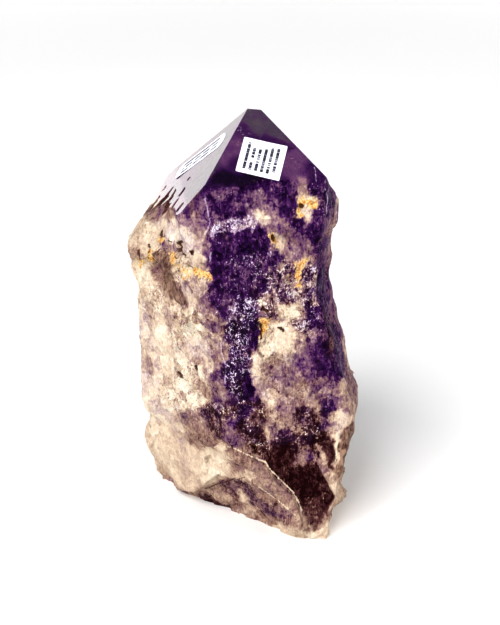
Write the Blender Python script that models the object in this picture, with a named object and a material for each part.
"""An amethyst point: one natural quartz crystal with a polished tip, and the two paper labels on it.

The crystal stands on its flat base at z = 0, with +Z up and its best side towards -Y.
The trunk is a loft: six-sided rings, one above another, drawn up from the base. The skin is
then moved in and out to make the ledges, lumps, hollows and pits, and last the tip is cut to
its polished faces and the base is cut level. Sizes are in millimetres until the very end.
"""

import math

import bmesh
import bpy
from mathutils import Matrix, Vector, noise

MM = 0.001

# The trunk's stations: where its long edges cross each height. The left, front left and front
# right edges are given across and deep; the right edge and the back face by one measure each.
STATIONS = (
    # height, left edge, front left edge, front right edge, right, back
    (-6, -36, 14, 19, -23, 28, -26.8, 32, 33),
    (0, -39.5, 12.5, 17.5, -25.3, 28.6, -27.6, 33, 35),
    (10, -43, 10.5, 16, -27.6, 29.8, -26.8, 35, 36.5),
    (20, -42.5, 9.5, 12, -28, 31.5, -26, 36.8, 37.5),
    (30, -40.5, 9, 4, -28.5, 33.5, -25, 38.5, 38),
    (38, -41, 8, -5, -28.5, 35.5, -23, 40, 38),
    (48, -43, 8, -8, -28, 36.3, -21.5, 40.2, 37.5),
    (60, -42.5, 8, -9, -27.5, 33, -21, 36.8, 37.5),
    (76, -42.5, 8, -12, -27, 28.8, -21, 32.6, 37),
    (90, -42.5, 8, -15, -26.5, 25.5, -20.5, 29, 36),
    (98, -43, 8, -16, -26.3, 23.5, -20.3, 27.5, 36),
    (105, -44.5, 8, -17, -26, 23.5, -20, 28.7, 36),
    (112, -40, 11, -19, -25.5, 24, -20, 30, 35.5),
    (120, -35, 15, -21.5, -24.5, 24.5, -20, 31.5, 35),
    (128, -33, 17, -23, -23.5, 24.5, -20, 32, 34),
    (160, -32, 18, -24, -23, 24.5, -20, 31, 31),
)
RIGHT_EDGE = 0.48  # where the right edge lies, as a share of the depth
BACK_RIGHT = (0.22, 0.04)  # how far the back right edge stands in, as shares of width and depth
BACK_LEFT = 0.20
SIDES_AROUND = (19, 22, 8, 7, 9, 9)  # quads along each side of a ring, from the front left edge
RING_STEP = 2.5
EDGE_ROUNDS = 2

# The tip. Each polished face: where it looks, counted from -Y round to +X, how steeply its
# normal rises, and the point that it passes through.
APEX = (-0.8, -1.5, 156.1)
RIDGE_END = (3.7, -1.6, 155.7)
POLISHED = {
    "front": (5, 47, APEX),
    "left": (-85, 39.5, APEX),
    "back": (176, 36, APEX),
    "right": (110, 39, RIDGE_END),
}

# Paper labels: the face that each is on, how far its middle is across and down from the apex,
# how far it is turned, its length and width, and its corners' radius.
PAPER = 0.3
GAP = 0.3
LABELS = {
    "front_label": ("front", 3.4, 18.9, 16.6, 14.6, 13.0, 0.5),
    "side_label": ("left", -8.3, 24.6, 127.5, 31.0, 7.0, 3.0),
}

# The plate that lies over the foot of the front: its upper and lower edges as (x, height) points
# from left to right, how far it stands proud, and the width over which its edges step up.
PLATE_TOP = ((-38, 26), (-30, 33), (-18, 37.3), (-7, 38.3), (-1.5, 35.4), (5.4, 32.1), (9.6, 25.9),
             (14.9, 20.9), (18.3, 12.4), (19.5, 7))
PLATE_FOOT = ((-38, -4), (-30, 0), (-18, 8), (-12.4, 17), (-9.4, 21.5), (-2, 23.7), (3.2, 22.6), (5, 18.1),
              (8.3, 15.9), (13.3, 9.7), (18.3, 5.0))
PLATE_PROUD = (1.5, 4.4)  # at its upper edge, and at its lower one
PLATE_STEP = 1.5
PLATE_TIP = (17.5, 20.5)  # its right end thins out between these
PLATE_ROOT = (-38, -14)  # its left end grows into the stone between these

# Ledges: steps across the front. Each has its edge as (x, height) points from left to right, how
# far the stone above it stands proud, the width of the step, and the height where it has faded.
LEDGES = (
    # the frosted ledge under the left of the polished face
    (((-19, 109), (-14, 112), (-10.5, 114.5), (-7, 112), (-3.5, 114.5), (0, 116), (4, 119)), 0.9, 1.2, 11),
    # the ledge over the smoky hollows of the left face
    (((-44, 97), (-37, 101), (-30, 100), (-24, 103), (-17, 99)), 1.2, 1.4, 9),
)
LEDGE_ENDS = 3.0  # each ledge dies out over this length at its ends
FORWARDS = 0.2  # plate and ledges lie where the skin looks forwards: its outward y is under this

# Lumps (positive) and hollows (negative): the middle, the radius and the height of each.
LUMPS = (
    ((-40, 3, 43), 8.0, 2.0),  # the rose lump on the left edge
    ((-30, 0, 20), 13.0, 1.2),  # the rounded foot at the left
    ((33, -6, 4.6), 5.0, 3.4),  # the tan nodule at the right foot
    ((-33, -6, 99), 5.5, -3.0),  # the smoky hollow under the left shoulder
    ((-25, -14, 87), 4.5, -1.8),
    ((20, -21, 122), 4.5, 1.6),  # the golden lumps on the upper front
    ((10, -24, 112), 4.0, 1.4),
    ((11, -24, 77), 6.0, 1.2),  # the cream boss in the middle of the front
    ((16, -22, 97), 6.0, 0.8),
    ((37, -2, 121), 4.0, 0.6),
    ((-40, 5, 104), 5.0, 1.0),  # the left shoulder
)

# The skin's roughness: the size of its swells and of its grain, and how high each rises.
SWELL = (17.0, 1.3)
GRAIN = (6.0, 0.7)
STRIAE = (3.2, 0.25)
WEAR = 0.4  # how far the skin's sharpest points are worn down, as a share

# The smooth broken face at the right of the foot, a diamond: its middle across and up, half its
# width and height, where its edge fades into the skin, and how deep it lies.
CHIP_MIDDLE = (23.7, 18.0)
CHIP_HALF = (7.5, 15.0)
CHIP_RIM = (0.8, 1.15)
CHIP_DEPTH = 0.9


def span(value, low, high):
    """0 up to low, 1 past high, and a smooth step between."""
    t = min(max((value - low) / (high - low), 0.0), 1.0)
    return t * t * (3 - 2 * t)


def along(line, x):
    """The height of a line of (x, height) points at x."""
    if x <= line[0][0]:
        return line[0][1]
    for (x0, z0), (x1, z1) in zip(line, line[1:]):
        if x <= x1:
            return z0 + (z1 - z0) * (x - x0) / (x1 - x0)
    return line[-1][1]


def facet_axes(turn, rise):
    """A polished face's directions: level across it, straight down it, and out of it."""
    turn, rise = math.radians(turn), math.radians(rise)
    across = Vector((math.cos(turn), math.sin(turn), 0))
    out = Vector((math.cos(rise) * math.sin(turn), -math.cos(rise) * math.cos(turn), math.sin(rise)))
    return across, across.cross(out), out


def station_at(height):
    """The trunk's measures at a height, eased from one station to the next."""
    height = min(max(height, STATIONS[0][0]), STATIONS[-1][0])
    for below, above in zip(STATIONS, STATIONS[1:]):
        if height <= above[0]:
            t = (height - below[0]) / (above[0] - below[0])
            t = 0.5 * (t + span(t, 0, 1))
            return [a + (b - a) * t for a, b in zip(below[1:], above[1:])]
    return list(STATIONS[-1][1:])


def ring_corners(height):
    """The six long edges of the prism where they cross this height, from the front left one."""
    left, left_deep, from_x, from_y, to_x, to_y, right, back = station_at(height)
    width, depth = right - left, back - from_y
    return (
        (from_x, from_y),
        (to_x, to_y),
        (right, from_y + RIGHT_EDGE * depth),
        (right - BACK_RIGHT[0] * width, back - BACK_RIGHT[1] * depth),
        (left + BACK_LEFT * width, back),
        (left, left_deep),
    )


def ring(height):
    """The ring's points and their outward directions, its corners a little rounded."""
    corners = [Vector(c) for c in ring_corners(height)]
    points = []
    for i, count in enumerate(SIDES_AROUND):
        points += [corners[i].lerp(corners[(i + 1) % 6], k / count) for k in range(count)]
    last = len(points)
    for _ in range(EDGE_ROUNDS):
        points = [0.5 * p + 0.25 * (points[i - 1] + points[(i + 1) % last]) for i, p in enumerate(points)]
    rows = []
    for i, p in enumerate(points):
        chord = points[(i + 1) % last] - points[i - 1]
        rows.append((Vector((p.x, p.y, height)), Vector((chord.y, -chord.x, 0)).normalized()))
    return rows


def plate_lift(p):
    """How far the plate stands out of the stone under it at a point of the front."""
    half = 0.5 * PLATE_STEP
    high, low = along(PLATE_TOP, p.x), along(PLATE_FOOT, p.x)
    down = min(max((high - p.z) / (high - low), 0.0), 1.0)
    proud = PLATE_PROUD[0] + (PLATE_PROUD[1] - PLATE_PROUD[0]) * down
    edges = span(high - p.z, -half, half) * span(p.z - low, -half, half)
    return proud * edges * span(p.x, *PLATE_ROOT) * (1 - span(p.x, *PLATE_TIP))


def ledge_lift(p, edge, proud, step, fade):
    """How far the stone above a ledge's edge stands proud at a point."""
    past = p.z - along(edge, p.x)
    start, stop = edge[0][0], edge[-1][0]
    ends = span(p.x, start, start + LEDGE_ENDS) * (1 - span(p.x, stop - LEDGE_ENDS, stop))
    return proud * ends * span(past, -0.5 * step, 0.5 * step) * (1 - span(past, step, fade))


def relief(p, out):
    """How far the skin stands out of the plain trunk at a point."""
    size, rise = SWELL
    height = rise * noise.fractal(p / size, 0.9, 2.0, 3)
    size, rise = GRAIN
    height += rise * noise.noise(p / size + Vector((9, 4, 1)))
    size, rise = STRIAE
    height += rise * noise.noise(Vector((p.x / size, p.y / size, p.z / (9 * size))))
    for middle, radius, lift in LUMPS:
        reach = (p - Vector(middle)).length / radius
        height += lift * (1 - span(reach, 0.25, 1.15))
    if out.y < FORWARDS:
        height += plate_lift(p) + sum(ledge_lift(p, *ledge) for ledge in LEDGES)
    return height


def chip_share(p, out):
    """How much a point of the front belongs to the broken face: 1 in it, 0 away from it."""
    if out.y > -FORWARDS:
        return 0.0
    reach = abs(p.x - CHIP_MIDDLE[0]) / CHIP_HALF[0] + abs(p.z - CHIP_MIDDLE[1]) / CHIP_HALF[1]
    return 1 - span(reach, *CHIP_RIM)


def skin(p, out):
    """Where the stone's surface lies for a point on the plain trunk."""
    chip = chip_share(p, out)
    return p + out * (relief(p, out) * (1 - chip) - CHIP_DEPTH * chip)


def loft():
    """The trunk as a bmesh in millimetres: one ring, drawn up ring after ring, and closed."""
    bm = bmesh.new()
    low, high = STATIONS[0][0], STATIONS[-1][0]
    steps = round((high - low) / RING_STEP)
    verts = bmesh.ops.create_circle(bm, cap_ends=False, segments=sum(SIDES_AROUND), radius=1)["verts"]
    edges = list(bm.edges)
    bottom = list(edges)
    for i in range(steps + 1):
        if i:
            grown = bmesh.ops.extrude_edge_only(bm, edges=edges)["geom"]
            above = {v for v in grown if isinstance(v, bmesh.types.BMVert)}
            verts = [next(e.other_vert(v) for e in v.link_edges if e.other_vert(v) in above) for v in verts]
            edges = [e for e in grown if isinstance(e, bmesh.types.BMEdge) and above.issuperset(e.verts)]
        for v, (p, out) in zip(verts, ring(low + (high - low) * i / steps)):
            v.co = skin(p, out)
    bmesh.ops.smooth_vert(bm, verts=bm.verts, factor=WEAR, use_axis_x=True, use_axis_y=True, use_axis_z=True)
    bmesh.ops.contextual_create(bm, geom=bottom)
    bmesh.ops.contextual_create(bm, geom=edges)
    bmesh.ops.recalc_face_normals(bm, faces=bm.faces)
    return bm


def cut(bm, point, normal):
    """Cuts away everything past the plane and closes the stone with a flat face."""
    found = bmesh.ops.bisect_plane(
        bm,
        geom=list(bm.verts) + list(bm.edges) + list(bm.faces),
        dist=1e-5,
        plane_co=point,
        plane_no=normal,
        clear_outer=True,
    )
    rim = [g for g in found["geom_cut"] if isinstance(g, bmesh.types.BMEdge)]
    bmesh.ops.triangle_fill(bm, edges=rim, use_beauty=True, normal=normal)


def stone():
    bm = loft()
    for turn, rise, point in POLISHED.values():
        cut(bm, Vector(point), facet_axes(turn, rise)[2])
    cut(bm, Vector((0, 0, 0)), Vector((0, 0, -1)))
    bmesh.ops.recalc_face_normals(bm, faces=bm.faces)
    return bm


def label(name):
    """A flat slip of paper with round corners, lying just off its polished face."""
    face, across_by, down_by, turned, length, width, radius = LABELS[name]
    across, down, out = facet_axes(*POLISHED[face][:2])
    middle = Vector(APEX) + across * across_by + down * down_by + out * GAP
    bm = bmesh.new()
    bmesh.ops.create_grid(bm, x_segments=1, y_segments=1, size=0.5)
    bmesh.ops.scale(bm, vec=(length, width, 1), verts=bm.verts)
    corners = list(bm.verts)
    bmesh.ops.bevel(bm, geom=corners, offset=radius, segments=4, profile=0.5, affect="VERTICES", material=-1)
    grown = bmesh.ops.extrude_face_region(bm, geom=list(bm.faces))["geom"]
    bmesh.ops.translate(bm, vec=(0, 0, PAPER), verts=[g for g in grown if isinstance(g, bmesh.types.BMVert)])
    bmesh.ops.recalc_face_normals(bm, faces=bm.faces)
    frame = Matrix((across, -down, out)).transposed() @ Matrix.Rotation(math.radians(-turned), 3, "Z")
    bmesh.ops.transform(bm, matrix=Matrix.Translation(middle) @ frame.to_4x4(), verts=bm.verts)
    return bm


def material(name, colour, roughness):
    made = bpy.data.materials.new(name)
    made.use_nodes = True
    shader = made.node_tree.nodes["Principled BSDF"]
    shader.inputs["Base Color"].default_value = (*colour, 1)
    shader.inputs["Roughness"].default_value = roughness
    shader.inputs["Metallic"].default_value = 0
    return made


def main():
    for obj in list(bpy.data.objects):
        bpy.data.objects.remove(obj)
    shapes = {"amethyst_point": stone()}
    for name in LABELS:
        shapes[name] = label(name)
    spread = [v.co for bm in shapes.values() for v in bm.verts]
    centre = [-0.5 * (min(p[i] for p in spread) + max(p[i] for p in spread)) for i in (0, 1)]
    paints = {
        "amethyst_point": material("amethyst", (0.30, 0.17, 0.40), 0.35),
        "front_label": material("label_paper", (0.86, 0.86, 0.90), 0.6),
    }
    paints["side_label"] = paints["front_label"]
    for name, bm in shapes.items():
        bmesh.ops.translate(bm, vec=(*centre, 0), verts=bm.verts)
        bmesh.ops.scale(bm, vec=(MM, MM, MM), verts=bm.verts)
        mesh = bpy.data.meshes.new(name)
        bm.to_mesh(mesh)
        bm.free()
        mesh.materials.append(paints[name])
        bpy.context.scene.collection.objects.link(bpy.data.objects.new(name, mesh))
    print("centred by", [round(c, 3) for c in centre], "mm")


if __name__ == "__main__":
    main()
